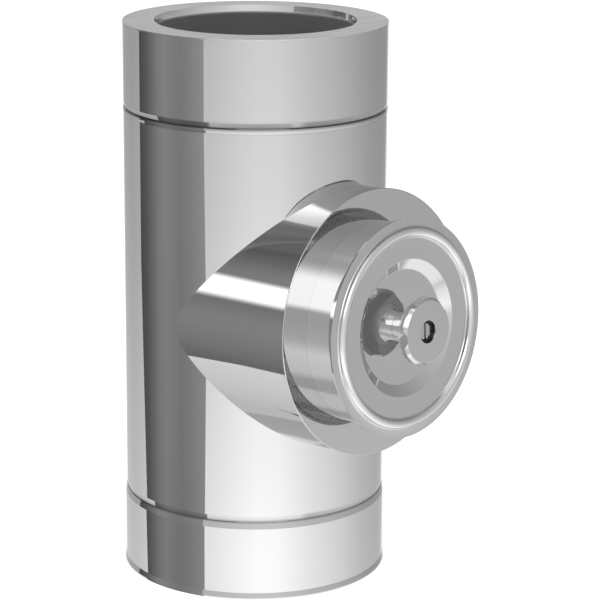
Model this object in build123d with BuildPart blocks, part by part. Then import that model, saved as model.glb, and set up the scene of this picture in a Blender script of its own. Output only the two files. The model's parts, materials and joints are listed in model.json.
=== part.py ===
from build123d import *
from math import cos, radians, sin, sqrt
import os

# Twin-wall insulated flue element with an inspection branch.
# The main pipe stands on +Z with its axis at the origin and its bottom rim at z = 0.
# The branch leaves towards -Y, tilted a little upwards, and a clamped lid closes it.
# All lengths are in millimetres, all angles in degrees.

# Sheet and fits
sheet = 0.6                      # stainless sheet of jacket, liner and end rings
seam_gap = 0.05                  # between sheets that are welded or pressed together
slip_gap = 0.3                   # radial room of a liner spigot in a liner socket

# Outer jacket, one rolled tube from rim to rim
element_height = 425.0
jacket_radius = 100.0
band_height = 60.8               # top band that the next element's sleeve slips over
band_groove_depth = 1.0
band_groove_height = 3.8
band_bead_out = 0.25
band_bead_height = 4.0
sleeve_height = 61.5             # bottom sleeve that slips over the band below
sleeve_gap = 0.4                 # radial room of the sleeve over a band
sleeve_shoulder_height = 5.5
pinch_depth = 0.4                # rolled-in stop above the sleeve
pinch_height = 4.0
rim_flare_out = 0.9
rim_flare_height = 4.0
rim_lip_height = 1.0

# Liner, the tube that carries the flue gas
bore_radius = 75.0
socket_radius = 75.6
socket_depth = 62.0
socket_taper = 5.0
spigot_length = 61.0
spigot_taper = 4.0
mouth_out = 0.8
mouth_height = 4.8

# End rings between liner and jacket
ring_skirt = 12.0                # part of a ring that goes in along the jacket
ring_collar = 8.0                # part of a ring that goes in along the liner
bottom_ring_flange = 10.0

# Branch
branch_height = 207.0            # where the branch axis meets the main axis
branch_tilt = 3.0
branch_jacket_radius = 99.0
branch_bore_radius = 74.8
branch_reach = 125.6             # main axis to the front of the branch end plate
plate_rim_out = 0.7
plate_rim_round = 0.59
mouth_reach = 153.8              # main axis to the rim that the lid closes
mouth_flange_radius = 79.5

# Insulation
wool_gap = 0.1

# Lid cover, pressed from one sheet
lid_sheet = 1.0
lid_radius = 81.9
gasket_thickness = 1.0
bead_radius = 71.1               # middle of the stiffening bead
bead_foot_width = 7.4
bead_crown_width = 5.0
bead_height = 3.7
bead_crown_bend = 2.9
bead_foot_bend = 1.5
recess_edge_radius = 51.1
recess_floor_radius = 42.9
recess_depth = 5.2
recess_bend = 1.0
lid_edge_round = 0.25

# Lid pan and its filling
pan_radius = 73.6
pan_depth = 42.8                 # back of the cover to the bottom of the pan
pan_flange_radius = 77.2
sleeve_wall = 2.1
spindle_room = 0.4               # radial room of the spindle in the lid

# Clamp: spindle, seal ring, plate, washer and nut
spindle_radius = 7.0
thread_room = 0.05               # radial room of the spindle in knob and nut
seal_radius = 74.5
seal_inner_radius = 60.0
seal_height = 8.1
seal_round = 2.5
clamp_plate_radius = 71.5
clamp_plate_sheet = 2.0
clamp_plate_rim = 8.0
clamp_plate_bend = 2.5
spindle_collar_radius = 10.5
spindle_collar_height = 4.0
washer_radius = 14.0
washer_thickness = 2.5
nut_across_flats = 22.0
nut_height = 11.0
nut_chamfer = 30.0
spindle_tail = 2.0               # spindle that stands out of the nut
spindle_chamfer = 1.0
slot_width = 2.0
slot_depth = 2.5

# Star knob
knob_seat_gap = 0.1
knob_radius = 25.2
knob_hub_radius = 11.0
knob_hub_height = 6.3
knob_neck_radius = 12.4
knob_neck_height = 4.8
knob_ring_radius = 13.4
knob_ring_height = 1.7
knob_back_radius = 15.0
knob_back_height = 2.3
knob_dish_height = 1.8           # rise of the knob's back from hub to rim
knob_edge_in = 2.3               # how far the back stops short of the rim
knob_back_bevel = 2.1
knob_back_round = 0.8
knob_rim_height = 6.3
knob_corner_round = 1.0          # between a lobe and a hollow
knob_front_round = 2.2
knob_lobes = 5
knob_turned = 40.0               # first hollow, measured from +X towards +Z
hollow_radius = 11.0
hollow_depth = 2.5
counterbore_radius = 8.3
counterbore_depth = 4.5
spindle_below_face = 3.0

# Worked out from the sizes above
liner_outer = bore_radius + sheet
socket_outer = socket_radius + sheet
spigot_radius = socket_radius - slip_gap
jacket_inner = jacket_radius - sheet
sleeve_radius = jacket_radius + sleeve_gap + sheet
branch_liner_outer = branch_bore_radius + sheet
branch_jacket_inner = branch_jacket_radius - sheet
hem = 2 * sheet                  # a folded rim is two sheets thick
ring_level = sleeve_height + pinch_height + seam_gap
top_ring_inner = socket_radius + mouth_out + sheet + seam_gap
wool_inner = socket_outer + wool_gap
wool_outer = jacket_inner - max(band_groove_depth, seam_gap) - sheet - wool_gap
lid_front = mouth_reach + gasket_thickness + lid_sheet
lid_back = lid_front - lid_sheet
lid_floor = lid_front - recess_depth
floor_back = lid_floor - lid_sheet
pan_bottom = lid_back - pan_depth
spindle_hole = spindle_radius + spindle_room
sleeve_outer = spindle_hole + sleeve_wall
seal_back = pan_bottom - seam_gap - seal_height
plate_front = seal_back - seam_gap
plate_back = plate_front - clamp_plate_sheet
washer_back = plate_back - seam_gap - washer_thickness
nut_back = washer_back - seam_gap - nut_height
knob_base = lid_floor + knob_seat_gap
knob_waist = knob_base + knob_hub_height
knob_ring_base = knob_waist + knob_neck_height
knob_back = knob_ring_base + knob_ring_height + knob_back_height
knob_rim_back = knob_back + knob_dish_height + knob_back_bevel
knob_front = knob_rim_back + knob_rim_height
spindle_end = knob_front - spindle_below_face
reach_past = 2 * jacket_radius   # long enough to cut through any wall of the element

# Planes and axes of the branch
out_x, out_y, out_z = 0.0, -cos(radians(branch_tilt)), sin(radians(branch_tilt))
branch_root = (0, 0, branch_height)
branch_axis = Axis(branch_root, (out_x, out_y, out_z))
branch_section = Plane(origin=branch_root, x_dir=(1, 0, 0), z_dir=(0, -out_z, out_y))


def across_branch(distance):
    """The plane square to the branch axis, at a distance from the main axis."""
    origin = (0, out_y * distance, branch_height + out_z * distance)
    return Plane(origin=origin, x_dir=(1, 0, 0), z_dir=(out_x, out_y, out_z))


def folded_sheet(points, thickness, bends=None, side=Side.LEFT):
    """Outline of a sheet that follows the points, with its thickness on one side."""
    with BuildLine() as outline:
        if bends is None:
            Polyline(*points)
        else:
            FilletPolyline(*points, radius=bends)
        offset(amount=thickness, side=side, kind=Kind.INTERSECTION)
    return outline.edges()


def end_ring_outline(inner, rim, skirt, face):
    """Outline of a ring with a folded rim, a skirt along the jacket and a collar along the liner."""
    with BuildLine() as outline:
        Polyline(
            (inner, face),
            (rim, face),
            (rim, face - hem),
            (skirt, face - hem),
            (skirt, face - hem - ring_skirt),
            (skirt - sheet, face - hem - ring_skirt),
            (skirt - sheet, face - sheet),
            (inner + sheet, face - sheet),
            (inner + sheet, face - ring_collar),
            (inner, face - ring_collar),
            close=True,
        )
    return outline.edges()


# Outer jacket: flared rim, sleeve, rolled-in stop, body, bead, groove and top band
groove_low = element_height - band_height - band_groove_height
jacket_path = [
    (sleeve_radius + rim_flare_out, 0),
    (sleeve_radius + rim_flare_out, rim_lip_height),
    (sleeve_radius, rim_lip_height + rim_flare_height),
    (sleeve_radius, sleeve_height - sleeve_shoulder_height),
    (jacket_radius + sleeve_gap - pinch_depth, sleeve_height - sheet),
    (jacket_radius - pinch_depth, sleeve_height),
    (jacket_radius, sleeve_height + pinch_height),
    (jacket_radius, groove_low - band_bead_height),
    (jacket_radius + band_bead_out, groove_low - band_bead_height / 2),
    (jacket_radius + band_bead_out, groove_low - sheet),
    (jacket_radius - band_groove_depth, groove_low),
    (jacket_radius, groove_low + band_groove_height),
    (jacket_radius, element_height - hem - seam_gap),
]
with BuildPart() as outer_jacket:
    with BuildSketch(Plane.XZ):
        make_face(folded_sheet(jacket_path, sheet))
    revolve(axis=Axis.Z)
    with BuildSketch(across_branch(0)):
        Circle(branch_jacket_inner)
    extrude(amount=reach_past, mode=Mode.SUBTRACT)

# Liner: spigot below, plain bore, socket with a flared mouth above
socket_level = element_height - socket_depth
liner_path = [
    (spigot_radius - sheet, 0),
    (spigot_radius - sheet, spigot_length),
    (bore_radius, spigot_length + spigot_taper),
    (bore_radius, socket_level - socket_taper),
    (socket_radius, socket_level),
    (socket_radius, element_height - mouth_height),
    (socket_radius + mouth_out, element_height),
]
with BuildPart() as flue_liner:
    with BuildSketch(Plane.XZ):
        make_face(folded_sheet(liner_path, sheet, side=Side.RIGHT))
    revolve(axis=Axis.Z)
    with BuildSketch(Plane.XY.offset(element_height)):
        Circle(jacket_radius)
    extrude(amount=sheet, mode=Mode.SUBTRACT)
    with BuildSketch(across_branch(0)):
        Circle(branch_bore_radius)
    extrude(amount=reach_past, mode=Mode.SUBTRACT)

# Top ring: flat face from the liner's mouth to the jacket's edge
with BuildPart() as top_end_ring:
    with BuildSketch(Plane.XZ):
        ring_skirt_radius = jacket_inner - seam_gap
        make_face(end_ring_outline(top_ring_inner, jacket_radius, ring_skirt_radius, element_height))
    revolve(axis=Axis.Z)

# Bottom ring: a channel that sits on the rolled-in stop and holds the liner in the middle
bottom_ring_path = [
    (liner_outer + seam_gap, ring_level + bottom_ring_flange),
    (liner_outer + seam_gap, ring_level),
    (jacket_inner - seam_gap, ring_level),
    (jacket_inner - seam_gap, ring_level + bottom_ring_flange),
]
with BuildPart() as bottom_end_ring:
    with BuildSketch(Plane.XZ):
        make_face(folded_sheet(bottom_ring_path, sheet))
    revolve(axis=Axis.Z)

# Insulation of the main pipe, cut out where the branch's own insulation goes
wool_base = ring_level + sheet + wool_gap
wool_top = element_height - sheet - wool_gap
wool_past_collar = top_ring_inner + sheet + wool_gap
with BuildPart() as main_insulation:
    with BuildSketch(Plane.XZ):
        with BuildLine():
            Polyline(
                (wool_inner, wool_base),
                (wool_outer, wool_base),
                (wool_outer, wool_top),
                (wool_past_collar, wool_top),
                (wool_past_collar, element_height - ring_collar - wool_gap),
                (wool_inner, element_height - ring_collar - wool_gap),
                close=True,
            )
        make_face()
    revolve(axis=Axis.Z)
    with BuildSketch(across_branch(0)):
        Circle(branch_jacket_inner)
    extrude(amount=reach_past, mode=Mode.SUBTRACT)

# Branch jacket: a tube that ends on the main jacket's outside
with BuildPart() as branch_jacket:
    with BuildSketch(across_branch(0)):
        Circle(branch_jacket_radius)
        Circle(branch_jacket_inner, mode=Mode.SUBTRACT)
    extrude(amount=branch_reach - hem - seam_gap)
    with BuildSketch(Plane.XY):
        Circle(jacket_radius + seam_gap)
    extrude(amount=element_height, mode=Mode.SUBTRACT)

# Branch liner: a tube from the main liner to the mouth, with a flange for the gasket
with BuildPart() as branch_liner:
    with BuildSketch(branch_section):
        with BuildLine():
            Polyline(
                (branch_bore_radius, 0),
                (branch_liner_outer, 0),
                (branch_liner_outer, mouth_reach - sheet),
                (mouth_flange_radius, mouth_reach - sheet),
                (mouth_flange_radius, mouth_reach),
                (branch_bore_radius, mouth_reach),
                close=True,
            )
        make_face()
    revolve(axis=branch_axis)
    with BuildSketch(Plane.XY):
        Circle(liner_outer + seam_gap)
    extrude(amount=element_height, mode=Mode.SUBTRACT)

# Branch end plate: polished ring between the branch's liner and jacket
plate_rim = branch_jacket_radius + plate_rim_out
with BuildPart() as branch_end_plate:
    with BuildSketch(branch_section) as plate_sketch:
        plate_skirt = branch_jacket_inner - seam_gap
        plate_inner = branch_liner_outer + seam_gap
        make_face(end_ring_outline(plate_inner, plate_rim, plate_skirt, branch_reach))
        fillet(plate_sketch.vertices().group_by(Axis.X)[-1], radius=plate_rim_round)
    revolve(axis=branch_axis)

# Insulation of the branch
branch_wool_outer = branch_jacket_inner - wool_gap
branch_wool_past_skirt = plate_skirt - sheet - wool_gap
branch_wool_past_collar = plate_inner + sheet + wool_gap
plate_skirt_low = branch_reach - hem - ring_skirt - wool_gap
branch_wool_end = branch_reach - sheet - wool_gap
with BuildPart() as branch_insulation:
    with BuildSketch(branch_section):
        with BuildLine():
            Polyline(
                (branch_liner_outer + wool_gap, wool_gap),
                (branch_wool_outer, wool_gap),
                (branch_wool_outer, plate_skirt_low),
                (branch_wool_past_skirt, plate_skirt_low),
                (branch_wool_past_skirt, branch_wool_end),
                (branch_wool_past_collar, branch_wool_end),
                (branch_wool_past_collar, branch_reach - ring_collar - wool_gap),
                (branch_liner_outer + wool_gap, branch_reach - ring_collar - wool_gap),
                close=True,
            )
        make_face()
    revolve(axis=branch_axis)
    with BuildSketch(Plane.XY):
        Circle(wool_inner)
    extrude(amount=element_height, mode=Mode.SUBTRACT)

# Lid cover: flat rim, stiffening bead, flat ring and a recess for the knob
lid_path = [
    (lid_radius, lid_front),
    (bead_radius + bead_foot_width / 2, lid_front),
    (bead_radius + bead_crown_width / 2, lid_front + bead_height),
    (bead_radius - bead_crown_width / 2, lid_front + bead_height),
    (bead_radius - bead_foot_width / 2, lid_front),
    (recess_edge_radius, lid_front),
    (recess_floor_radius, lid_floor),
    (spindle_hole, lid_floor),
]
lid_bends = [bead_foot_bend, bead_crown_bend, bead_crown_bend, bead_foot_bend, recess_bend, recess_bend]
with BuildPart() as lid_cover:
    with BuildSketch(branch_section) as lid_sketch:
        make_face(folded_sheet(lid_path, lid_sheet, lid_bends))
        rim_corners = lid_sketch.vertices().group_by(Axis.X)[-1]
        fillet(rim_corners, radius=lid_edge_round)
    revolve(axis=branch_axis)

# Gasket between the lid cover and the flange of the branch liner
with BuildPart() as lid_gasket:
    with BuildSketch(across_branch(mouth_reach + seam_gap)):
        Circle(mouth_flange_radius)
        Circle(pan_flange_radius + wool_gap, mode=Mode.SUBTRACT)
    extrude(amount=gasket_thickness - seam_gap)

# Pan on the inside of the lid, flanged against the cover
pan_top = lid_back - seam_gap - sheet
pan_path = [
    (pan_flange_radius, pan_top),
    (pan_radius, pan_top),
    (pan_radius, pan_bottom),
    (spindle_hole, pan_bottom),
]
with BuildPart() as lid_pan:
    with BuildSketch(branch_section):
        make_face(folded_sheet(pan_path, sheet, side=Side.RIGHT))
    revolve(axis=branch_axis)

# Filling of the pan, hollowed for the recess of the cover
pan_inside = pan_radius - sheet - wool_gap
recess_room = recess_edge_radius + lid_sheet + wool_gap
with BuildPart() as lid_insulation:
    with BuildSketch(branch_section):
        with BuildLine():
            Polyline(
                (sleeve_outer + wool_gap, pan_bottom + sheet + wool_gap),
                (pan_inside, pan_bottom + sheet + wool_gap),
                (pan_inside, pan_top),
                (recess_room, pan_top),
                (recess_room, floor_back - wool_gap),
                (sleeve_outer + wool_gap, floor_back - wool_gap),
                close=True,
            )
        make_face()
    revolve(axis=branch_axis)

# Distance sleeve that keeps cover and pan apart when the knob is tightened
with BuildPart() as spindle_sleeve:
    with BuildSketch(across_branch(pan_bottom + sheet + seam_gap)):
        Circle(sleeve_outer)
        Circle(spindle_hole, mode=Mode.SUBTRACT)
    extrude(amount=floor_back - pan_bottom - sheet - 2 * seam_gap)

# Soft seal ring that is squeezed outwards between the pan and the clamp plate
with BuildPart() as seal_ring:
    with BuildSketch(branch_section) as seal_sketch:
        with BuildLine():
            Polyline(
                (seal_inner_radius, seal_back),
                (seal_radius, seal_back),
                (seal_radius, seal_back + seal_height),
                (seal_inner_radius, seal_back + seal_height),
                close=True,
            )
        make_face()
        fillet(seal_sketch.vertices(), radius=seal_round)
    revolve(axis=branch_axis)

# Clamp plate: pressed disc with its rim turned inwards
plate_path = [
    (spindle_hole, plate_front),
    (clamp_plate_radius, plate_front),
    (clamp_plate_radius, plate_front - clamp_plate_rim),
]
with BuildPart() as clamp_plate:
    with BuildSketch(branch_section):
        make_face(folded_sheet(plate_path, clamp_plate_sheet, clamp_plate_bend, side=Side.RIGHT))
    revolve(axis=branch_axis)

# Spindle: threaded rod with a collar in front of the plate and a slotted end in the knob
with BuildPart() as clamp_spindle:
    with BuildSketch(across_branch(nut_back - spindle_tail)):
        Circle(spindle_radius)
    extrude(amount=spindle_end - nut_back + spindle_tail)
    ends = clamp_spindle.edges().filter_by(GeomType.CIRCLE)
    chamfer(ends, length=spindle_chamfer)
    with BuildSketch(across_branch(plate_front + seam_gap)):
        Circle(spindle_collar_radius)
    extrude(amount=spindle_collar_height)
    with BuildSketch(across_branch(spindle_end - slot_depth)):
        Rectangle(slot_width, 2 * spindle_radius)
    extrude(amount=slot_depth, mode=Mode.SUBTRACT)

# Washer behind the clamp plate
with BuildPart() as spindle_washer:
    with BuildSketch(across_branch(washer_back)):
        Circle(washer_radius)
        Circle(spindle_hole, mode=Mode.SUBTRACT)
    extrude(amount=washer_thickness)

# Nut that holds the clamp plate on the spindle, with its corners turned off
nut_corner = nut_across_flats / sqrt(3)
nut_drop = (nut_corner - nut_across_flats / 2) * sin(radians(nut_chamfer)) / cos(radians(nut_chamfer))
with BuildPart() as spindle_nut:
    with BuildSketch(across_branch(nut_back)):
        RegularPolygon(radius=nut_across_flats / 2, side_count=6, major_radius=False)
        Circle(spindle_radius + thread_room, mode=Mode.SUBTRACT)
    extrude(amount=nut_height)
    with BuildSketch(branch_section):
        with BuildLine():
            Polyline(
                (0, nut_back),
                (nut_across_flats / 2, nut_back),
                (nut_corner, nut_back + nut_drop),
                (nut_corner, nut_back + nut_height),
                (0, nut_back + nut_height),
                close=True,
            )
        make_face()
    revolve(axis=branch_axis, mode=Mode.INTERSECT)

# Star knob: turned body with a stepped hub, then hollows round the rim and the tapped hole
knob_path = [
    (0, knob_base),
    (knob_hub_radius, knob_base),
    (knob_hub_radius, knob_waist),
    (knob_neck_radius, knob_ring_base),
    (knob_ring_radius, knob_ring_base + knob_ring_height),
    (knob_back_radius, knob_back),
    (knob_radius - knob_edge_in, knob_back + knob_dish_height),
    (knob_radius, knob_rim_back),
    (knob_radius, knob_front),
    (0, knob_front),
]
with BuildPart() as star_knob:
    with BuildSketch(branch_section) as knob_sketch:
        with BuildLine():
            Polyline(*knob_path, close=True)
        make_face()
        rim_back_corner = knob_sketch.vertices().group_by(Axis.X)[-1].sort_by(Axis.Y)[0]
        fillet(rim_back_corner, radius=knob_back_round)
    revolve(axis=branch_axis)
    with BuildSketch(across_branch(knob_base)) as star_sketch:
        with PolarLocations(0, 1, start_angle=knob_turned):
            Circle(knob_radius)
        hollow_centre = knob_radius - hollow_depth + hollow_radius
        with PolarLocations(hollow_centre, knob_lobes, start_angle=knob_turned):
            Circle(hollow_radius, mode=Mode.SUBTRACT)
        fillet(star_sketch.vertices(), radius=knob_corner_round)
    extrude(amount=knob_front - knob_base, mode=Mode.INTERSECT)
    knob_face = star_knob.faces().sort_by(branch_axis)[-1]
    fillet(knob_face.outer_wire().edges(), radius=knob_front_round)
    with BuildSketch(across_branch(knob_base)):
        Circle(spindle_radius + thread_room)
    extrude(amount=knob_front - knob_base, mode=Mode.SUBTRACT)
    with BuildSketch(across_branch(knob_front - counterbore_depth)):
        Circle(counterbore_radius)
    extrude(amount=counterbore_depth, mode=Mode.SUBTRACT)

pieces = {
    "outer_jacket": outer_jacket,
    "flue_liner": flue_liner,
    "top_end_ring": top_end_ring,
    "bottom_end_ring": bottom_end_ring,
    "main_insulation": main_insulation,
    "branch_jacket": branch_jacket,
    "branch_liner": branch_liner,
    "branch_end_plate": branch_end_plate,
    "branch_insulation": branch_insulation,
    "lid_cover": lid_cover,
    "lid_gasket": lid_gasket,
    "lid_pan": lid_pan,
    "lid_insulation": lid_insulation,
    "spindle_sleeve": spindle_sleeve,
    "seal_ring": seal_ring,
    "clamp_plate": clamp_plate,
    "clamp_spindle": clamp_spindle,
    "spindle_washer": spindle_washer,
    "spindle_nut": spindle_nut,
    "star_knob": star_knob,
}
os.makedirs("parts", exist_ok=True)
for name, piece in pieces.items():
    piece.part.label = name
    export_step(piece.part, f"parts/{name}.step")
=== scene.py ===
import json
from math import atan2, cos, pi, radians, sin, sqrt, tan

import bpy
from bpy.props import FloatProperty, FloatVectorProperty, IntProperty, PointerProperty
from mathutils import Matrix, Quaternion, Vector


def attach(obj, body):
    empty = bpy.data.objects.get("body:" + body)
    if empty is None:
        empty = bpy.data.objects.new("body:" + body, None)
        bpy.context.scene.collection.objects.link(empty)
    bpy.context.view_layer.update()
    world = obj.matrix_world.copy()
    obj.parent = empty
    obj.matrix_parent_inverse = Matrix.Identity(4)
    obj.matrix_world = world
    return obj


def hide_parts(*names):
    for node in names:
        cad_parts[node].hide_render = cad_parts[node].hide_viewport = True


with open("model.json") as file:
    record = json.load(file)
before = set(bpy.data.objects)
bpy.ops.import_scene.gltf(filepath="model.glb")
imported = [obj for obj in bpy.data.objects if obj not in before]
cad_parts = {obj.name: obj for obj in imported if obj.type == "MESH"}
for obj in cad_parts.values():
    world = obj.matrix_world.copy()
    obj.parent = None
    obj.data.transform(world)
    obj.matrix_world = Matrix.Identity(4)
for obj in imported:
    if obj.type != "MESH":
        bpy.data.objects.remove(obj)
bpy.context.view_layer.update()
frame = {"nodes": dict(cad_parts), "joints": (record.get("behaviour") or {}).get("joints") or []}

# Lid, knob, threaded spindle, seal, finishes and studio for a twin-wall flue inspection pipe.
# Lengths are in metres. The main pipe stands on Z, and the branch leaves towards -Y.

bl_info = {
    "name": "Flue inspection pipe",
    "version": (1, 0, 0),
    "blender": (4, 5, 0),
    "location": "3D View > Sidebar > Flue pipe",
    "description": "Dresses a twin-wall flue inspection pipe and sets up its studio",
    "category": "Object",
}

MM = 0.001
DEGREE = radians(1)

joint_axes = {joint["name"]: Vector(joint["axis"]).normalized() for joint in frame["joints"]}
joint_places = {joint["name"]: Vector(joint.get("pos_m", (0, 0, 0))) for joint in frame["joints"]}
branch_axis = joint_axes["lid_lift_off"]
knob_place = joint_places["knob_turn"]


def reach_of(name):
    """How far a CAD node reaches along the branch's axis and out from it, as four values."""
    along, out = [], []
    for vertex in frame["nodes"][name].data.vertices:
        offset = vertex.co - knob_place
        distance = offset.dot(branch_axis)
        along.append(distance)
        out.append((offset - distance * branch_axis).length)
    return min(along), max(along), min(out), max(out)


class FlueFinishes(bpy.types.PropertyGroup):
    """Colours and gloss of the pipe's materials"""

    jacket_colour: FloatVectorProperty(
        name="Jacket steel", description="Polished sheet of jacket, branch and lid",
        subtype="COLOR", size=3, min=0, max=1, default=(0.61, 0.61, 0.61))
    liner_colour: FloatVectorProperty(
        name="Liner steel", description="Bright sheet of the parts that carry the gas",
        subtype="COLOR", size=3, min=0, max=1, default=(0.58, 0.58, 0.58))
    ring_colour: FloatVectorProperty(
        name="End ring steel", description="Satin sheet of the two end rings",
        subtype="COLOR", size=3, min=0, max=1, default=(0.62, 0.62, 0.62))
    turned_colour: FloatVectorProperty(
        name="Turned steel", description="Spindle, sleeve, washer and nut",
        subtype="COLOR", size=3, min=0, max=1, default=(0.55, 0.55, 0.55))
    seal_colour: FloatVectorProperty(
        name="Seal", description="Soft ring that the clamp squeezes",
        subtype="COLOR", size=3, min=0, max=1, default=(0.035, 0.035, 0.037))
    gasket_colour: FloatVectorProperty(
        name="Gasket", description="Flat gasket under the lid",
        subtype="COLOR", size=3, min=0, max=1, default=(0.06, 0.06, 0.06))
    wool_colour: FloatVectorProperty(
        name="Mineral wool", description="Pressed insulation between the walls",
        subtype="COLOR", size=3, min=0, max=1, default=(0.52, 0.47, 0.34))
    blasted_colour: FloatVectorProperty(
        name="Knob's back", description="Colour of the knob's blasted back",
        subtype="COLOR", size=3, min=0, max=1, default=(0.44, 0.44, 0.44))
    mirror_roughness: FloatProperty(
        name="Polished sheet", description="Roughness of the mirror-like sheets",
        subtype="FACTOR", min=0, max=1, default=0.035)
    satin_roughness: FloatProperty(
        name="Satin sheet", description="Roughness of the end rings",
        subtype="FACTOR", min=0, max=1, default=0.24)
    turned_roughness: FloatProperty(
        name="Turned steel", description="Roughness of spindle, sleeve, washer and nut",
        subtype="FACTOR", min=0, max=1, default=0.12)
    mill_roughness: FloatProperty(
        name="Lid's back", description="Roughness of the lid's unpolished back",
        subtype="FACTOR", min=0, max=1, default=0.38)
    blasted_roughness: FloatProperty(
        name="Knob's back", description="Roughness of the knob's blasted back",
        subtype="FACTOR", min=0, max=1, default=0.55)


class FlueDetails(bpy.types.PropertyGroup):
    """Sizes of the thread and of the seal's ribs"""

    thread_pitch: FloatProperty(
        name="Thread pitch", description="Travel of the knob for each turn",
        unit="LENGTH", default=2 * MM)
    thread_depth: FloatProperty(
        name="Thread depth", description="From the crest to the root of the thread",
        unit="LENGTH", default=1.1 * MM)
    knob_thread: FloatProperty(
        name="Thread in the knob", description="Threaded stretch at the slotted end",
        unit="LENGTH", default=27 * MM)
    nut_thread: FloatProperty(
        name="Thread in the nut", description="Threaded stretch at the inner end",
        unit="LENGTH", default=18 * MM)
    slot_width: FloatProperty(
        name="Slot width", description="Screwdriver slot in the end of the spindle",
        unit="LENGTH", default=2 * MM)
    slot_depth: FloatProperty(
        name="Slot depth", description="Screwdriver slot in the end of the spindle",
        unit="LENGTH", default=2.5 * MM)
    seal_ribs: IntProperty(
        name="Seal ribs", description="Ribs round the face that seals", min=1, default=4)
    rib_depth: FloatProperty(
        name="Rib depth", description="Depth of the grooves between the ribs",
        unit="LENGTH", default=0.5 * MM)
    seal_corner: FloatProperty(
        name="Seal corner", description="Rounding of the squeezed seal's corners",
        unit="LENGTH", default=2.5 * MM)


class FlueStudio(bpy.types.PropertyGroup):
    """Camera, floor and light of the studio"""

    camera_place: FloatVectorProperty(
        name="Camera place", description="Where the camera stands",
        subtype="XYZ", unit="LENGTH", size=3, default=(-1.3110, -1.2857, 0.6964))
    camera_aim: FloatVectorProperty(
        name="Camera aim", description="The point that the camera looks at",
        subtype="XYZ", unit="LENGTH", size=3, default=(-0.0112, -0.0584, 0.2202))
    camera_roll: FloatProperty(
        name="Camera roll", description="Turn about the line of sight",
        subtype="ANGLE", unit="ROTATION", default=radians(0.415))
    focal_length: FloatProperty(
        name="Focal length", description="Focal length of the camera's lens",
        unit="CAMERA", default=147.47)
    sensor_width: FloatProperty(
        name="Sensor width", description="Width of the camera's sensor",
        unit="CAMERA", default=36.0)
    floor_size: FloatProperty(
        name="Floor size", description="Side of the square floor",
        unit="LENGTH", default=8.0)
    floor_colour: FloatVectorProperty(
        name="Floor colour", description="Colour of the floor under the pipe",
        subtype="COLOR", size=3, min=0, max=1, default=(0.8, 0.8, 0.8))
    floor_glow: FloatProperty(
        name="Floor glow", description="Light that lifts the floor towards white in the picture",
        default=0.55)
    lamp_place: FloatVectorProperty(
        name="Lamp place", description="Where the lamp hangs; it looks at the pipe's foot",
        subtype="XYZ", unit="LENGTH", size=3, default=(-0.9, -1.0, 2.2))
    lamp_size: FloatProperty(
        name="Lamp size", description="Diameter of the round lamp",
        unit="LENGTH", default=1.6)
    lamp_power: FloatProperty(
        name="Lamp power", description="Light of the lamp on matt surfaces",
        unit="POWER", default=24.0)
    ambient: FloatProperty(
        name="Ambient light", description="Light from all sides on matt surfaces",
        default=0.75)
    panel_gain: FloatProperty(
        name="Panel gain", description="Brightness of what the polished steel reflects",
        default=1.0)


branch_turn = Vector((0, 0, 1)).rotation_difference(branch_axis)
spindle_room = 0.4 * MM          # radial room of the spindle in the washer
spindle_sides = 72
shank_share = 0.95               # within this share of the rod's radius there is only its end
steps_per_turn = 10              # rings of faces for each turn of the thread
thread_flat = 0.1                # half the width of crest and root, as a share of the flank
seal_sides = 240
steps_per_rib = 10
corner_steps = 6
lid_sides = 600
bend_steps = 7
knob_sides = 480
merge_distance = 0.001 * MM
smooth_angle = radians(30)       # edges sharper than this stay hard
thread_smooth_angle = radians(35)
noise_mean = 0.5                 # mean of a noise texture's factor
marks_mean = noise_mean ** 2     # mean of the polishing marks' mask, a product of two noises

# The lid's front, from its rim to the spindle hole: radius and height over the knob's base.
lid_sheet = 1.0 * MM
lid_path = (
    (81.9, 5.1), (74.8, 5.1), (73.6, 8.8), (68.6, 8.8), (67.4, 5.1), (51.1, 5.1), (42.9, -0.1),
    (7.4, -0.1))
lid_bends = (1.5, 2.9, 2.9, 1.5, 1.0, 1.0)

# The knob, round its bore, hub, dished back, rim, front bevel and counterbore: radius and
# height over its base. Edges that are meant to look soft have two stations.
bevel_step = 0.15
bevel_steps = 14
knob_stations = (
    (7.05, 0), (10.95, 0), (11.0, 0.05), (11.0, 0.3), (11.0, 3.0), (11.08, 5.0), (11.25, 6.6),
    (11.55, 8.2), (11.95, 9.8), (12.4, 11.1), (13.0, 12.2), (13.8, 13.3), (14.6, 14.3),
    (15.2, 14.85), (16.0, 15.2), (22.2, 16.7), (22.8, 16.9), (23.3, 17.2),
    (24.8, 18.6), (25.1, 18.9), (25.2, 19.3), (25.2, 19.7), (25.2, 23.0),
    *((25.15 - step * bevel_step, 23.3 + step * bevel_step) for step in range(bevel_steps)),
    (22.95, 25.3), (22.6, 25.3), (8.8, 25.3), (8.5, 25.3), (8.3, 25.1), (8.3, 24.9),
    (8.3, 20.8), (7.05, 20.8), (7.05, 0))
knob_radius = 25.2 * MM
knob_hub_limit = 16 * MM         # the hollows don't reach nearer to the axis than this
knob_lobes = 5
knob_turned = radians(40)        # the first hollow, measured from +X towards +Z
hollow_radius = 14 * MM
hollow_depth = 2.5 * MM
lobe_softness = 0.3 * MM         # rounding where a hollow meets the round rim
knob_back_least = 0.4            # how far a face of the knob looks back to count as its back


def add_node(tree, kind, inputs=None, **settings):
    """Adds a shader node, sets it, and links or fills the named inputs."""
    node = tree.nodes.new(kind)
    for key, value in settings.items():
        setattr(node, key, value)
    for name, value in (inputs or {}).items():
        if isinstance(value, bpy.types.NodeSocket):
            tree.links.new(value, node.inputs[name])
        else:
            node.inputs[name].default_value = value
    return node


def calculate(tree, operation, first, second=0.0, third=0.0):
    """A Math node's result."""
    return add_node(tree, "ShaderNodeMath", {0: first, 1: second, 2: third},
                    operation=operation).outputs[0]


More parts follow.
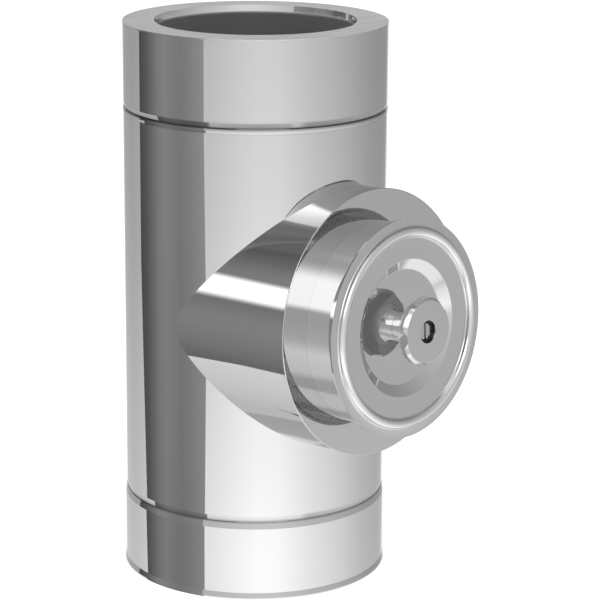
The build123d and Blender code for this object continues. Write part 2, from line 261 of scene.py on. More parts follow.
def blend(tree, kind, factor, first, second):
    """A Mix node's result for two sockets, colours or grey levels."""
    node = add_node(tree, "ShaderNodeMix", {0: factor}, data_type="RGBA", blend_type=kind)
    for socket, value in ((node.inputs[6], first), (node.inputs[7], second)):
        if isinstance(value, bpy.types.NodeSocket):
            tree.links.new(value, socket)
        elif isinstance(value, float):
            socket.default_value = (value, value, value, 1)
        else:
            socket.default_value = (*value, 1)
    return node.outputs[2]


def mixed(tree, factor, first, second):
    """The first colour or level where the factor is 0, the second where it is 1."""
    return blend(tree, "MIX", factor, first, second)


def scaled(tree, colour, factor):
    """A colour or level times another."""
    return blend(tree, "MULTIPLY", 1.0, colour, factor)


def levels(tree, value, stops, unit):
    """A grey level that follows a value through (place, level) stops.

    The unit is what one step of a place is worth, MM or DEGREE."""
    low, high = stops[0][0], stops[-1][0]
    place = add_node(tree, "ShaderNodeMapRange", {
        "Value": value, "From Min": low * unit, "From Max": high * unit}).outputs[0]
    ramp = add_node(tree, "ShaderNodeValToRGB", {"Fac": place})
    elements = ramp.color_ramp.elements
    for station, level in stops[1:-1]:
        elements.new((station - low) / (high - low)).color = (level, level, level, 1)
    for end in (0, -1):
        level = stops[end][1]
        elements[end].color = (level, level, level, 1)
    return ramp.outputs["Color"]


def band_mask(tree, angle, low, high, fade_low, fade_high):
    """1 between two angles in degrees, fading to 0 beyond each of them."""
    rise = add_node(tree, "ShaderNodeMapRange", {
        "Value": angle, "From Min": radians(low - fade_low), "From Max": radians(low)},
        interpolation_type="SMOOTHSTEP").outputs[0]
    fall = add_node(tree, "ShaderNodeMapRange", {
        "Value": angle, "From Min": radians(high + fade_high), "From Max": radians(high)},
        interpolation_type="SMOOTHSTEP").outputs[0]
    return calculate(tree, "MULTIPLY", rise, fall)


# What stands round the polished steel: a pale room, brighter towards its floor.
# Azimuth is 0 on the branch side and 90 on the +X side; elevation is up from the horizon.
room_by_azimuth = (
    (-180, 0.24), (-165, 0.27), (-140, 0.34), (-105, 0.38), (-85, 0.39), (-58, 0.46),
    (-42, 0.49), (-26, 0.485), (-10, 0.44), (6, 0.39), (22, 0.355), (38, 0.315),
    (54, 0.272), (70, 0.236), (86, 0.212), (102, 0.195), (118, 0.20), (150, 0.225), (180, 0.24))
room_by_elevation = (
    (-90, 0.90), (-60, 0.95), (-48, 0.92), (-35, 0.90), (-21, 1.0), (-17, 0.87), (-15, 0.79),
    (-13, 0.71), (-9, 0.63), (-4, 0.61), (5, 0.55), (45, 0.54), (58, 0.62), (75, 0.43), (90, 0.40))
room_brightness = 3.26

# The dark wall on the far left.
wall_by_azimuth = (
    (-168, 0.24), (-162, 0.27), (-154, 0.36), (-146, 0.54), (-138, 0.75), (-130, 0.84),
    (-122, 0.76), (-114, 0.71), (-106, 0.78), (-98, 0.90), (-90, 1.0))
wall_by_elevation = (
    (-60, 0.11), (-32, 0.115), (-20, 0.148), (-15, 0.156), (-9, 0.165), (-3, 0.165), (5, 0.135),
    (16, 0.13), (24, 0.19), (28, 0.185), (33, 0.165), (40, 0.16), (90, 0.15))
wall_brightness = 2.56
wall_right_edge = -90.5
wall_left_edge = -165.1
wall_left_turn = -14             # below this elevation the left edge slants inwards
wall_left_slant = 1.15
wall_bottom_edge = -31.5
wall_bottom_turn = -141          # past this azimuth the bottom edge drops away
wall_bottom_slant = 2.4
wall_lowest_edge = -40

# Panels and shades in front of the room, the last on top: azimuths, elevations, how far the
# left, right, lower and upper sides fade, and brightness.
panels = {
    "dark_back_right": ((100, 185), (16, 70), (8, 1, 4, 14), 0.27),
    "dark_back_left": ((-185, -157), (10, 70), (1, 3, 5, 14), 0.19),
    "dark_corner_left": ((-168, -150), (1, 18), (5, 3, 4, 8), 0.14),
    "pale_back": ((120, 145), (-20, 11), (8, 8, 4, 4), 0.78),
    "shaded_corner": ((-91, -77), (33, 52), (0.1, 22, 6, 10), 0.38),
    "shaded_floor": ((8, 58), (-38, -33), (12, 10, 4, 8), 0.72),
    "bright_floor": ((0, 78), (-70, -46), (8, 12, 8, 6), 1.28),
    "floor_line": ((-92, -12), (-52, -41), (1, 6, 4, 6), 0.86),
    "strip_light": ((-146, -121), (11.5, 18.5), (4, 4, 5, 4), 2.05),
    "upper_box": ((-28, -6), (54, 62), (8, 8, 4, 6), 1.40),
    "soft_box": ((-60, -20), (19, 38), (5, 10, 6, 11), 2.7),
}


def build_room(studio):
    """The world: white to the camera, the studio to steel, and plain to matt surfaces."""
    world = bpy.data.worlds.new("studio_room")
    world.use_nodes = True
    world.cycles.sampling_method = "NONE"
    tree = world.node_tree
    tree.nodes.clear()
    direction = add_node(tree, "ShaderNodeTexCoord").outputs["Generated"]
    axes = add_node(tree, "ShaderNodeSeparateXYZ", {"Vector": direction}).outputs
    azimuth = calculate(tree, "ARCTAN2", axes["X"], calculate(tree, "MULTIPLY", axes["Y"], -1))
    elevation = calculate(tree, "ARCSINE", axes["Z"])
    room = scaled(tree, levels(tree, azimuth, room_by_azimuth, DEGREE),
                  levels(tree, elevation, room_by_elevation, DEGREE))
    room = scaled(tree, room, room_brightness)
    wall = scaled(tree, levels(tree, azimuth, wall_by_azimuth, DEGREE),
                  levels(tree, elevation, wall_by_elevation, DEGREE))
    wall = scaled(tree, wall, wall_brightness)
    below_turn = calculate(tree, "MAXIMUM", calculate(
        tree, "SUBTRACT", radians(wall_left_turn), elevation), 0.0)
    left_edge = calculate(tree, "MULTIPLY_ADD", below_turn, wall_left_slant,
                          radians(wall_left_edge))
    past_turn = calculate(tree, "MAXIMUM", calculate(
        tree, "SUBTRACT", azimuth, radians(wall_bottom_turn)), 0.0)
    bottom_edge = calculate(tree, "MULTIPLY_ADD", past_turn, -wall_bottom_slant,
                            radians(wall_bottom_edge))
    bottom_edge = calculate(tree, "MAXIMUM", bottom_edge, radians(wall_lowest_edge))
    right_of_edge = calculate(tree, "GREATER_THAN", azimuth, left_edge)
    left_of_edge = calculate(tree, "LESS_THAN", azimuth, radians(wall_right_edge))
    above_edge = calculate(tree, "GREATER_THAN", elevation, bottom_edge)
    on_wall = calculate(tree, "MULTIPLY", right_of_edge, left_of_edge)
    on_wall = calculate(tree, "MULTIPLY", on_wall, above_edge)
    seen = mixed(tree, on_wall, room, wall)
    for azimuths, elevations, (left, right, below, above), brightness in panels.values():
        on_panel = calculate(tree, "MULTIPLY",
                             band_mask(tree, azimuth, *azimuths, left, right),
                             band_mask(tree, elevation, *elevations, below, above))
        seen = mixed(tree, on_panel, seen, brightness)
    seen = scaled(tree, seen, studio.panel_gain)
    rays = add_node(tree, "ShaderNodeLightPath").outputs
    by_steel = calculate(tree, "MAXIMUM", rays["Is Glossy Ray"], rays["Is Transmission Ray"])
    light = mixed(tree, by_steel, studio.ambient, seen)
    light = mixed(tree, rays["Is Camera Ray"], light, 1.0)
    background = add_node(tree, "ShaderNodeBackground", {"Color": light})
    output = add_node(tree, "ShaderNodeOutputWorld")
    tree.links.new(background.outputs[0], output.inputs["Surface"])
    bpy.context.scene.world = world


def new_material(name):
    """An empty node material with its Principled shader."""
    material = bpy.data.materials.new(name)
    material.use_nodes = True
    tree = material.node_tree
    tree.nodes.clear()
    shader = add_node(tree, "ShaderNodeBsdfPrincipled")
    output = add_node(tree, "ShaderNodeOutputMaterial")
    tree.links.new(shader.outputs[0], output.inputs["Surface"])
    return material, tree, shader


def paint(material, *names):
    """Gives CAD nodes or new pieces one material."""
    for name in names:
        obj = frame["nodes"].get(name) or bpy.data.objects[name]
        obj.data.materials.clear()
        obj.data.materials.append(material)


def paint_both(piece, front, back):
    """Gives a piece its front material and the one of the faces that look back."""
    backs = [face.index for face in piece.data.polygons if face.material_index == 1]
    paint(front, piece.name)
    piece.data.materials.append(back)
    for index in backs:
        piece.data.polygons[index].material_index = 1


def group_with(name, inputs, outputs):
    """A shader node group with named float or vector sockets."""
    group = bpy.data.node_groups.new(name, "ShaderNodeTree")
    for socket_name, kind, default in inputs:
        socket = group.interface.new_socket(socket_name, in_out="INPUT", socket_type=kind)
        if default is not None:
            socket.default_value = default
    for socket_name, kind in outputs:
        group.interface.new_socket(socket_name, in_out="OUTPUT", socket_type=kind)
    return group, add_node(group, "NodeGroupInput").outputs, add_node(group, "NodeGroupOutput")


def build_polish_lines():
    """Fine lines that polishing leaves, and the cloudy patches between them."""
    group, given, result = group_with(
        "polish_lines",
        (("Vector", "NodeSocketVector", None),
         ("Across", "NodeSocketFloat", 0.0),
         ("Lines per metre", "NodeSocketFloat", 900.0),
         ("Roughness", "NodeSocketFloat", 0.05),
         ("Line depth", "NodeSocketFloat", 0.01),
         ("Cloud depth", "NodeSocketFloat", 0.01),
         ("Cloud size", "NodeSocketFloat", 20.0)),
        (("Roughness", "NodeSocketFloat"), ("Mask", "NodeSocketFloat")))
    lines = add_node(group, "ShaderNodeTexNoise", {
        "W": calculate(group, "MULTIPLY", given["Across"], given["Lines per metre"]),
        "Scale": 1.0, "Detail": 3.0, "Roughness": 0.6}, noise_dimensions="1D").outputs[0]
    clouds = add_node(group, "ShaderNodeTexNoise", {
        "Vector": given["Vector"], "Scale": given["Cloud size"], "Detail": 4.0,
        "Roughness": 0.55}).outputs[0]
    line_part = calculate(group, "MULTIPLY", calculate(group, "SUBTRACT", lines, noise_mean),
                          given["Line depth"])
    cloud_part = calculate(group, "MULTIPLY", calculate(group, "SUBTRACT", clouds, noise_mean),
                           given["Cloud depth"])
    rough = calculate(group, "ADD", calculate(group, "ADD", given["Roughness"], line_part),
                      cloud_part)
    group.links.new(calculate(group, "MAXIMUM", rough, 0.0), result.inputs["Roughness"])
    group.links.new(calculate(group, "MULTIPLY", lines, clouds), result.inputs["Mask"])
    return group


def steel(name, colour, roughness, across, line_depth=0.012, cloud_depth=0.012,
          lines=900.0, tint=0.03, metallic=1.0, painted_light_stops=(), rough_stops=(),
          metallic_stops=()):
    """A steel whose polishing lines run square to the given direction.

    The stops change its colour, roughness or metallic share along that direction."""
    material, tree, shader = new_material(name)
    place = add_node(tree, "ShaderNodeTexCoord").outputs["Object"]
    distance = across(tree, place)
    group = bpy.data.node_groups.get("polish_lines") or build_polish_lines()
    marks = add_node(tree, "ShaderNodeGroup", node_tree=group)
    tree.links.new(place, marks.inputs["Vector"])
    tree.links.new(distance, marks.inputs["Across"])
    for socket, value in (("Lines per metre", lines), ("Roughness", roughness),
                          ("Line depth", line_depth), ("Cloud depth", cloud_depth)):
        marks.inputs[socket].default_value = value
    shade = calculate(tree, "MULTIPLY_ADD", marks.outputs["Mask"], tint, 1.0 - tint * marks_mean)
    shaded = scaled(tree, colour, shade)
    # Painted light and shade: the colour stops lighten or darken the steel along the direction.
    if painted_light_stops:
        shaded = scaled(tree, shaded, levels(tree, distance, painted_light_stops, MM))
    tree.links.new(shaded, shader.inputs["Base Color"])
    rough = marks.outputs["Roughness"]
    if rough_stops:
        rough = calculate(tree, "ADD", rough, levels(tree, distance, rough_stops, MM))
    tree.links.new(rough, shader.inputs["Roughness"])
    if metallic_stops:
        tree.links.new(levels(tree, distance, metallic_stops, MM), shader.inputs["Metallic"])
    else:
        shader.inputs["Metallic"].default_value = metallic
    return material


def along_pipe(tree, place):
    """Distance up the main pipe."""
    return add_node(tree, "ShaderNodeSeparateXYZ", {"Vector": place}).outputs["Z"]


def across_sheet(tree, place):
    """Distance across the rolling direction of a flat ring's sheet."""
    return add_node(tree, "ShaderNodeSeparateXYZ", {"Vector": place}).outputs["Y"]


def along_branch(tree, place):
    """Distance along the branch."""
    return add_node(tree, "ShaderNodeVectorMath", {0: place, 1: tuple(branch_axis)},
                    operation="DOT_PRODUCT").outputs["Value"]


def out_from_branch(tree, place):
    """Distance from the branch's axis, for lines turned about it."""
    moved = add_node(tree, "ShaderNodeVectorMath", {0: place, 1: tuple(knob_place)},
                     operation="SUBTRACT").outputs[0]
    reach = add_node(tree, "ShaderNodeVectorMath", {0: moved, 1: tuple(branch_axis)},
                     operation="DOT_PRODUCT").outputs["Value"]
    length = add_node(tree, "ShaderNodeVectorMath", {0: moved}, operation="LENGTH").outputs["Value"]
    squared = calculate(tree, "SUBTRACT", calculate(tree, "MULTIPLY", length, length),
                        calculate(tree, "MULTIPLY", reach, reach))
    return calculate(tree, "SQRT", calculate(tree, "MAXIMUM", squared, 0.0))


def new_piece(name):
    """Names the object that a primitive has just made, and its mesh."""
    piece = bpy.context.object
    piece.name = piece.data.name = name
    return piece


def lay_along_branch(piece):
    """Turns a piece made on Z to the branch's axis, and applies its place to its mesh."""
    piece.rotation_mode = "QUATERNION"
    piece.rotation_quaternion = branch_turn
    piece.location = knob_place
    bpy.ops.object.select_all(action="DESELECT")
    piece.select_set(True)
    bpy.context.view_layer.objects.active = piece
    bpy.ops.object.transform_apply(location=True, rotation=True, scale=True)


def lathe(name, stations, sides, fill):
    """Draws a ring through the stations, each a radius and a height on Z."""
    bpy.ops.object.select_all(action="DESELECT")
    last_radius, last_along = stations[0]
    bpy.ops.mesh.primitive_circle_add(vertices=sides, radius=last_radius, fill_type=fill,
                                      location=(0, 0, last_along))
    piece = new_piece(name)
    bpy.ops.object.mode_set(mode="EDIT")
    for radius, along in stations[1:]:
        bpy.ops.mesh.extrude_region_move(
            TRANSFORM_OT_translate={"value": (0, 0, along - last_along)})
        bpy.ops.transform.resize(value=(radius / last_radius, radius / last_radius, 1))
        last_radius, last_along = radius, along
    bpy.ops.mesh.select_all(action="SELECT")
    bpy.ops.mesh.remove_doubles(threshold=merge_distance)
    bpy.ops.mesh.normals_make_consistent(inside=False)
    bpy.ops.object.mode_set(mode="OBJECT")
    bpy.ops.object.transform_apply(location=True, rotation=True, scale=True)
    return piece


def mark_back(piece, least):
    """Gives faces that look back towards the pipe by more than the least the second material."""
    piece.data.update()
    for face in piece.data.polygons:
        if -face.normal.z > least:
            face.material_index = 1


def rounded_path(points, bends):
    """The points of a path in millimetres, in metres, with its corners rounded by arcs."""
    corners = [Vector(point) * MM for point in points]
    path = [corners[0]]
    for before, corner, after, bend in zip(corners, corners[1:], corners[2:], bends):
        to_start, to_end = (before - corner).normalized(), (after - corner).normalized()
        half = to_start.angle(to_end) / 2
        start = corner + to_start * bend * MM / tan(half)
        end = corner + to_end * bend * MM / tan(half)
        centre = corner + (to_start + to_end).normalized() * bend * MM / sin(half)
        for step in range(bend_steps + 1):
            spoke = (start - centre).lerp(end - centre, step / bend_steps)
            path.append(centre + spoke.normalized() * bend * MM)
    return [tuple(point) for point in path + [corners[-1]]]


class FLUE_OT_lid(bpy.types.Operator):
    """Models the pressed lid cover with its bead and its recess"""

    bl_idname = "flue.lid"
    bl_label = "Pressed lid"

    def execute(self, context):
        cover = lathe("pressed_lid", rounded_path(lid_path, lid_bends), lid_sides, "NOTHING")
        bpy.ops.object.mode_set(mode="EDIT")
        bpy.ops.mesh.select_all(action="SELECT")
        # The lathe can't know which side of an open sheet is its front.
        if sum(face.normal.z for face in cover.data.polygons) < 0:
            bpy.ops.mesh.flip_normals()
        bpy.ops.object.mode_set(mode="OBJECT")
        bpy.ops.object.modifier_add(type="SOLIDIFY")
        wall = cover.modifiers[-1]
        wall.thickness = lid_sheet
        wall.offset = -1
        bpy.ops.object.modifier_apply(modifier=wall.name)
        mark_back(cover, least=0.0)
        bpy.ops.object.shade_smooth_by_angle(angle=smooth_angle)
        lay_along_branch(cover)
        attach(cover, "lid")
        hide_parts("lid_cover")
        return {"FINISHED"}


class FLUE_OT_knob(bpy.types.Operator):
    """Models the five-lobed knob with its flared hub and its bevelled rim"""

    bl_idname = "flue.knob"
    bl_label = "Star knob"

    def execute(self, context):
        stations = [(radius * MM, along * MM) for radius, along in knob_stations]
        knob = lathe("lobed_knob", stations, knob_sides, "NOTHING")
        for vertex in knob.data.vertices:
            place = vertex.co
            reach = place.xy.length
            if reach >= knob_hub_limit:
                place.xy *= min(1.0, self.outline(atan2(place.y, place.x)) / reach)
        mark_back(knob, least=knob_back_least)
        bpy.ops.object.shade_smooth_by_angle(angle=smooth_angle)
        lay_along_branch(knob)
        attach(knob, "knob")
        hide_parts("star_knob")
        return {"FINISHED"}

    def outline(self, angle):
        """Reach of the lobed outline at an angle, with soft corners beside the hollows."""
        pitch = 2 * pi / knob_lobes
        off = (angle - knob_turned + pitch / 2) % pitch - pitch / 2
        centre = knob_radius - hollow_depth + hollow_radius
        inside = hollow_radius ** 2 - (centre * sin(off)) ** 2
        hollow = centre * cos(off) - sqrt(max(0.0, inside))
        share = max(0.0, lobe_softness - abs(knob_radius - hollow)) / lobe_softness
        return min(knob_radius, hollow) - share ** 2 * lobe_softness / 4


class FLUE_OT_spindle(bpy.types.Operator):
    """Models the spindle with its two threads and its slotted end"""

    bl_idname = "flue.spindle"
    bl_label = "Threaded spindle"

    def execute(self, context):
        sizes = context.scene.flue_details
        # The solid's collar, hidden in front of the clamp plate, is left off.
        back, front, _, _ = reach_of("clamp_spindle")
        radius = reach_of("spindle_washer")[2] - spindle_room
        chamfer = sizes.thread_depth
        stations = [(radius - chamfer, back), (radius, back + chamfer)]
        for start, end in ((back + chamfer, back + sizes.nut_thread),
                           (front - sizes.knob_thread, front - chamfer)):
            steps = round((end - start) / (sizes.thread_pitch / steps_per_turn))
            stations += [(radius, start + (end - start) * step / steps)
                         for step in range(1, steps + 1)]
        stations.append((radius - chamfer, front))
        spindle = lathe("threaded_spindle", stations, spindle_sides, "NGON")
        self.cut_threads(spindle, back, front, radius, sizes)
        self.cut_slot(spindle, front, radius, sizes)
        bpy.ops.object.shade_smooth_by_angle(angle=thread_smooth_angle)
        lay_along_branch(spindle)
        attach(spindle, "clamp")
        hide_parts("clamp_spindle")
        return {"FINISHED"}

    def cut_threads(self, spindle, back, front, radius, sizes):
        """Moves the surface of the threaded stretches in and out along a right-hand helix."""
        for vertex in spindle.data.vertices:
            place = vertex.co
            reach = place.xy.length
            if reach < radius * shank_share:
                continue
            into_nut_thread = min(place.z - back, back + sizes.nut_thread - place.z)
            into_knob_thread = min(front - place.z, place.z - front + sizes.knob_thread)
            inside = max(into_nut_thread, into_knob_thread)
            if inside <= 0:
                continue
            run_out = min(1.0, inside / sizes.thread_pitch)
            turn = (place.z / sizes.thread_pitch - atan2(place.y, place.x) / (2 * pi)) % 1.0
            flank = abs(2 * turn - 1)
            groove = min(1.0, max(0.0, (1 + 2 * thread_flat) * flank - thread_flat))
            new_reach = radius - sizes.thread_depth * groove * run_out
            place.xy *= new_reach / reach

    def cut_slot(self, spindle, front, radius, sizes):
        """Cuts the screwdriver slot with a box of its width and depth."""
        bpy.ops.object.select_all(action="DESELECT")
        bpy.ops.mesh.primitive_cube_add(size=1, location=(0, 0, front))
        cutter = bpy.context.object
        cutter.scale = (sizes.slot_width, 3 * radius, 2 * sizes.slot_depth)
        bpy.ops.object.transform_apply(location=True, rotation=True, scale=True)
        bpy.ops.object.select_all(action="DESELECT")
        spindle.select_set(True)
        bpy.context.view_layer.objects.active = spindle
        bpy.ops.object.modifier_add(type="BOOLEAN")
        cut = spindle.modifiers[-1]
        cut.operation = "DIFFERENCE"
        cut.solver = "EXACT"
        cut.object = cutter
        bpy.ops.object.modifier_apply(modifier=cut.name)
        bpy.data.objects.remove(cutter)


class FLUE_OT_seal(bpy.types.Operator):
    """Models the squeezed seal ring with the ribs of its sealing face"""

    bl_idname = "flue.seal"
    bl_label = "Ribbed seal"

    def execute(self, context):
        sizes = context.scene.flue_details
        low, high, inner, outer = reach_of("seal_ring")
        section = self.section(low, high, inner, outer, sizes)
        bpy.ops.object.select_all(action="DESELECT")
        bpy.ops.mesh.primitive_torus_add(
            major_segments=seal_sides, minor_segments=len(section),
            major_radius=(inner + outer) / 2, minor_radius=(outer - inner) / 2)
        seal = new_piece("ribbed_seal")
        for index, vertex in enumerate(seal.data.vertices):
            reach, along = section[index % len(section)]
            turn = 2 * pi * (index // len(section)) / seal_sides
            vertex.co = (reach * cos(turn), reach * sin(turn), along)
        bpy.ops.object.mode_set(mode="EDIT")
        bpy.ops.mesh.select_all(action="SELECT")
        bpy.ops.mesh.normals_make_consistent(inside=False)
        bpy.ops.object.mode_set(mode="OBJECT")
        bpy.ops.object.shade_smooth()
        lay_along_branch(seal)
        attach(seal, "lid")
        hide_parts("seal_ring")
        return {"FINISHED"}

    def section(self, low, high, inner, outer, sizes):
        """Radius and height of points round the section, ribs first, then the corners."""
        corner = sizes.seal_corner
        span = high - low - 2 * corner
        steps = steps_per_rib * sizes.seal_ribs
        points = []
        for step in range(steps):
            dip = sizes.rib_depth * (0.5 - 0.5 * cos(2 * pi * step / steps_per_rib))
            points.append((outer - dip, low + corner + span * step / steps))
        centres = ((outer - corner, high - corner, 0), (inner + corner, high - corner, 90),
                   (inner + corner, low + corner, 180), (outer - corner, low + corner, 270))
        for reach, along, start in centres:
            for step in range(corner_steps + 1):
                angle = radians(start + 90 * step / corner_steps)
                points.append((reach + corner * cos(angle), along + corner * sin(angle)))
        return points[:-1]


# Painted shade along the rolled grooves of the jacket, where they should look dark: height in mm
# and share of colour.
painted_groove_shade = (
    (0, 1.0), (60.8, 1.0), (61.2, 0.42), (61.9, 0.45), (62.8, 0.85), (65.5, 1.0), (355.5, 1.0),
    (356.6, 0.75), (358.2, 0.80), (359.4, 0.75), (359.9, 0.38), (360.9, 0.42), (361.4, 0.60),
    (363.8, 0.68), (364.4, 1.0), (425, 1.0))

# The lid's bead carries a painted highlight, its colour lifted, and is a little rougher, and its
# middle, under the knob, is less of a mirror: distance from the branch's axis in mm, and share of
# colour, added roughness or metal.
lid_painted_highlight = ((0, 1.0), (67.5, 1.0), (69.5, 1.3), (72.7, 1.3), (74.7, 1.0), (82, 1.0))
lid_roughness = ((0, 0.0), (67.0, 0.0), (68.0, 0.12), (75.2, 0.12), (76.5, 0.0), (82, 0.0))
lid_metallic = ((0, 0.86), (26, 0.86), (30, 1.0), (82, 1.0))

# The knob's counterbore, round the rod's end, lies in shade: the same distance, and share of
# colour.
knob_shade = ((0, 0.22), (8.35, 0.25), (8.6, 1.0), (26, 1.0))

# The liner's mouth carries a painted highlight: a pale line where it turns into its bore, and a
# brighter lip above it; the bore below it is less of a mirror: height in mm, and share of colour or
# metal.
mouth_painted_highlight = ((0, 1.0), (419.6, 1.0), (420.0, 1.2), (420.4, 1.2), (421.0, 1.25), (425, 1.25))
mouth_metallic = ((0, 0.86), (419.6, 0.86), (420.0, 0.55), (420.4, 0.55), (420.8, 1.0), (425, 1.0))

# Where steel faces steel, light bounces more often than it is followed, and a full mirror turns
# black. These are the shares of metal that keep such surfaces grey.
mill_metallic = 0.35
branch_metallic = 0.90
knob_metallic = 0.95


class FLUE_OT_sheets(bpy.types.Operator):
    """Finishes the jacket, the branch, the lid, the liner and the end rings"""

    bl_idname = "flue.sheets"
    bl_label = "Steel sheets"

    def execute(self, context):
        finish = context.scene.flue_finishes
        mirror = finish.mirror_roughness
        # The jacket's colour carries painted shade along its grooves.
        paint(steel("polished_jacket", finish.jacket_colour, mirror, along_pipe,
                    painted_light_stops=painted_groove_shade), "outer_jacket")
        paint(steel("polished_branch", finish.jacket_colour, mirror, along_branch),
              "branch_jacket")
        paint(steel("mirror_plate", finish.jacket_colour, mirror, out_from_branch),
              "branch_end_plate")
        # The lid's front carries a painted highlight on its bead.
        paint_both(
            bpy.data.objects["pressed_lid"],
            steel("pressed_lid_front", finish.jacket_colour, mirror, out_from_branch,
                  painted_light_stops=lid_painted_highlight, rough_stops=lid_roughness, metallic_stops=lid_metallic),
            steel("mill_finished_back", finish.liner_colour, finish.mill_roughness,
                  out_from_branch, lines=400, line_depth=0.06, metallic=mill_metallic))
        # The liner's colour carries a painted highlight at its mouth.
        paint(steel("bright_liner", finish.liner_colour, mirror, along_pipe, line_depth=0.01,
                    painted_light_stops=mouth_painted_highlight, metallic_stops=mouth_metallic), "flue_liner")
        paint(steel("bright_branch_liner", finish.liner_colour, mirror, along_branch,
                    metallic=branch_metallic), "branch_liner", "lid_pan", "clamp_plate")
        paint(steel("satin_end_ring", finish.ring_colour, finish.satin_roughness, across_sheet,
                    lines=260, line_depth=0.16, cloud_depth=0.10, tint=0.22),
              "top_end_ring", "bottom_end_ring")
        return {"FINISHED"}


class FLUE_OT_turned_parts(bpy.types.Operator):
    """Finishes the knob, the spindle, the sleeve, the washer and the nut"""

    bl_idname = "flue.turned_parts"
    bl_label = "Knob and turned parts"

    def execute(self, context):
        finish = context.scene.flue_finishes
        paint_both(
            bpy.data.objects["lobed_knob"],
            steel("polished_knob", finish.jacket_colour, finish.mirror_roughness,
                  out_from_branch, painted_light_stops=knob_shade, metallic=knob_metallic),
            steel("blasted_knob_back", finish.blasted_colour, finish.blasted_roughness,
                  out_from_branch, lines=1200, line_depth=0.05, metallic=0.0))
        paint(steel("turned_steel", finish.turned_colour, finish.turned_roughness,
                    out_from_branch, line_depth=0.05),
              "spindle_sleeve", "spindle_washer", "spindle_nut", "threaded_spindle")
        return {"FINISHED"}


def matt(name, colour, roughness, grain_scale, grain_depth, relief):
    """A matt material with grain of the given scale, in colour and relief."""
    material, tree, shader = new_material(name)
    place = add_node(tree, "ShaderNodeTexCoord").outputs["Object"]
    grain = add_node(tree, "ShaderNodeTexNoise", {
        "Vector": place, "Scale": grain_scale, "Detail": 6.0, "Roughness": 0.65}).outputs[0]
    shade = calculate(tree, "MULTIPLY_ADD", grain, grain_depth, 1.0 - grain_depth * noise_mean)
    tree.links.new(scaled(tree, colour, shade), shader.inputs["Base Color"])
    shader.inputs["Roughness"].default_value = roughness
    bump = add_node(tree, "ShaderNodeBump", {"Height": grain, "Distance": relief})
    tree.links.new(bump.outputs[0], shader.inputs["Normal"])
    return material


class FLUE_OT_soft_parts(bpy.types.Operator):
    """Finishes the seal, the gasket and the mineral wool"""

    bl_idname = "flue.soft_parts"
    bl_label = "Seal, gasket and wool"

    def execute(self, context):
        finish = context.scene.flue_finishes
        paint(matt("seal_rubber", finish.seal_colour, roughness=0.55, grain_scale=900,
                   grain_depth=0.3, relief=0.05 * MM), "ribbed_seal")
        paint(matt("gasket_sheet", finish.gasket_colour, roughness=0.8, grain_scale=1500,
                   grain_depth=0.5, relief=0.05 * MM), "lid_gasket")
        paint(matt("mineral_wool", finish.wool_colour, roughness=0.95, grain_scale=300,
                   grain_depth=0.5, relief=0.8 * MM),
              "main_insulation", "branch_insulation", "lid_insulation")
        return {"FINISHED"}


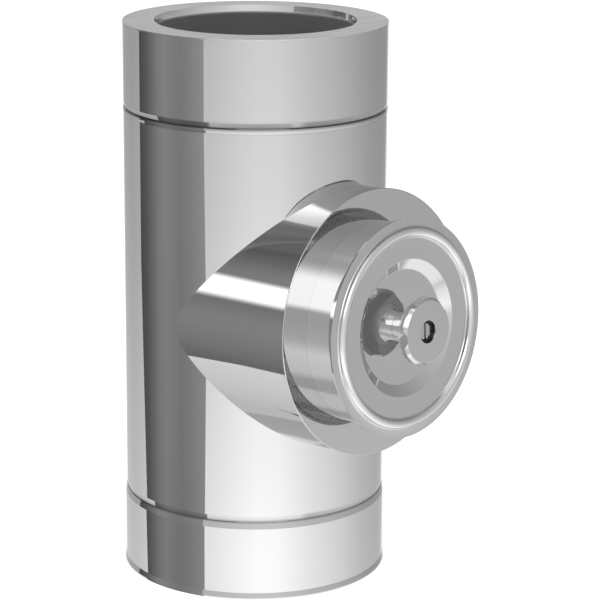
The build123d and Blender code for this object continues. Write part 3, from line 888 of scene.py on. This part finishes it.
class FLUE_OT_stage(bpy.types.Operator):
    """Makes the camera, the floor, the lamp and the room"""

    bl_idname = "flue.stage"
    bl_label = "Stage"

    def execute(self, context):
        studio = context.scene.flue_studio
        self.stand_camera(context, studio)
        self.lay_floor(context, studio)
        self.hang_lamp(context, studio)
        build_room(studio)
        context.scene.view_settings.view_transform = "Standard"
        return {"FINISHED"}

    def stand_camera(self, context, studio):
        """The camera, at the photo's own angle."""
        camera_data = bpy.data.cameras.new("camera")
        camera_data.lens = studio.focal_length
        camera_data.sensor_width = studio.sensor_width
        camera = bpy.data.objects.new("camera", camera_data)
        context.scene.collection.objects.link(camera)
        camera.location = studio.camera_place
        sight = Vector(studio.camera_aim) - Vector(studio.camera_place)
        roll = Quaternion((0, 0, 1), studio.camera_roll)
        camera.rotation_mode = "QUATERNION"
        camera.rotation_quaternion = sight.to_track_quat("-Z", "Y") @ roll
        context.scene.camera = camera

    def lay_floor(self, context, studio):
        """A floor that the picture shows nearly white and that the steel doesn't mirror."""
        bpy.ops.mesh.primitive_plane_add(size=studio.floor_size, location=(0, 0, 0))
        floor = context.object
        floor.name = "studio_floor"
        floor.visible_glossy = False
        material = bpy.data.materials.new("pale_floor")
        material.use_nodes = True
        tree = material.node_tree
        tree.nodes.clear()
        surface = add_node(tree, "ShaderNodeBsdfDiffuse", {"Color": (*studio.floor_colour, 1)})
        camera_ray = add_node(tree, "ShaderNodeLightPath").outputs["Is Camera Ray"]
        glow = add_node(tree, "ShaderNodeEmission", {
            "Strength": calculate(tree, "MULTIPLY", camera_ray, studio.floor_glow)})
        both = add_node(tree, "ShaderNodeAddShader", {0: surface.outputs[0], 1: glow.outputs[0]})
        output = add_node(tree, "ShaderNodeOutputMaterial")
        tree.links.new(both.outputs[0], output.inputs["Surface"])
        floor.data.materials.append(material)

    def hang_lamp(self, context, studio):
        """A soft lamp above the camera's side, for what isn't polished."""
        lamp_data = bpy.data.lights.new("top_lamp", "AREA")
        lamp_data.shape = "DISK"
        lamp_data.size = studio.lamp_size
        lamp_data.energy = studio.lamp_power
        lamp = bpy.data.objects.new("top_lamp", lamp_data)
        lamp.location = studio.lamp_place
        lamp.rotation_mode = "QUATERNION"
        lamp.rotation_quaternion = (-Vector(studio.lamp_place)).to_track_quat("-Z", "Y")
        lamp.visible_glossy = False
        context.scene.collection.objects.link(lamp)


class FLUE_PT_panel(bpy.types.Panel):
    """Lists the sizes, the colours and the steps"""

    bl_idname = "FLUE_PT_panel"
    bl_label = "Flue inspection pipe"
    bl_space_type = "VIEW_3D"
    bl_region_type = "UI"
    bl_category = "Flue pipe"

    def draw(self, context):
        layout = self.layout
        for name in SETTINGS:
            settings = getattr(context.scene, name)
            box = layout.box()
            for key in settings.__annotations__:
                box.prop(settings, key)
        for operator in OPERATORS:
            layout.operator(operator.bl_idname)


OPERATORS = (FLUE_OT_lid, FLUE_OT_knob, FLUE_OT_spindle, FLUE_OT_seal, FLUE_OT_sheets,
             FLUE_OT_turned_parts, FLUE_OT_soft_parts, FLUE_OT_stage)
SETTINGS = {"flue_details": FlueDetails, "flue_finishes": FlueFinishes,
            "flue_studio": FlueStudio}


def register():
    for settings in SETTINGS.values():
        bpy.utils.register_class(settings)
    for key, settings in SETTINGS.items():
        setattr(bpy.types.Scene, key, PointerProperty(type=settings))
    for cls in (*OPERATORS, FLUE_PT_panel):
        bpy.utils.register_class(cls)


def unregister():
    for cls in (FLUE_PT_panel, *reversed(OPERATORS)):
        bpy.utils.unregister_class(cls)
    for key, settings in SETTINGS.items():
        delattr(bpy.types.Scene, key)
        bpy.utils.unregister_class(settings)


def main():
    register()
    bpy.ops.flue.lid()
    bpy.ops.flue.knob()
    bpy.ops.flue.spindle()
    bpy.ops.flue.seal()
    bpy.ops.flue.sheets()
    bpy.ops.flue.turned_parts()
    bpy.ops.flue.soft_parts()
    bpy.ops.flue.stage()


if __name__ == "__main__":
    main()
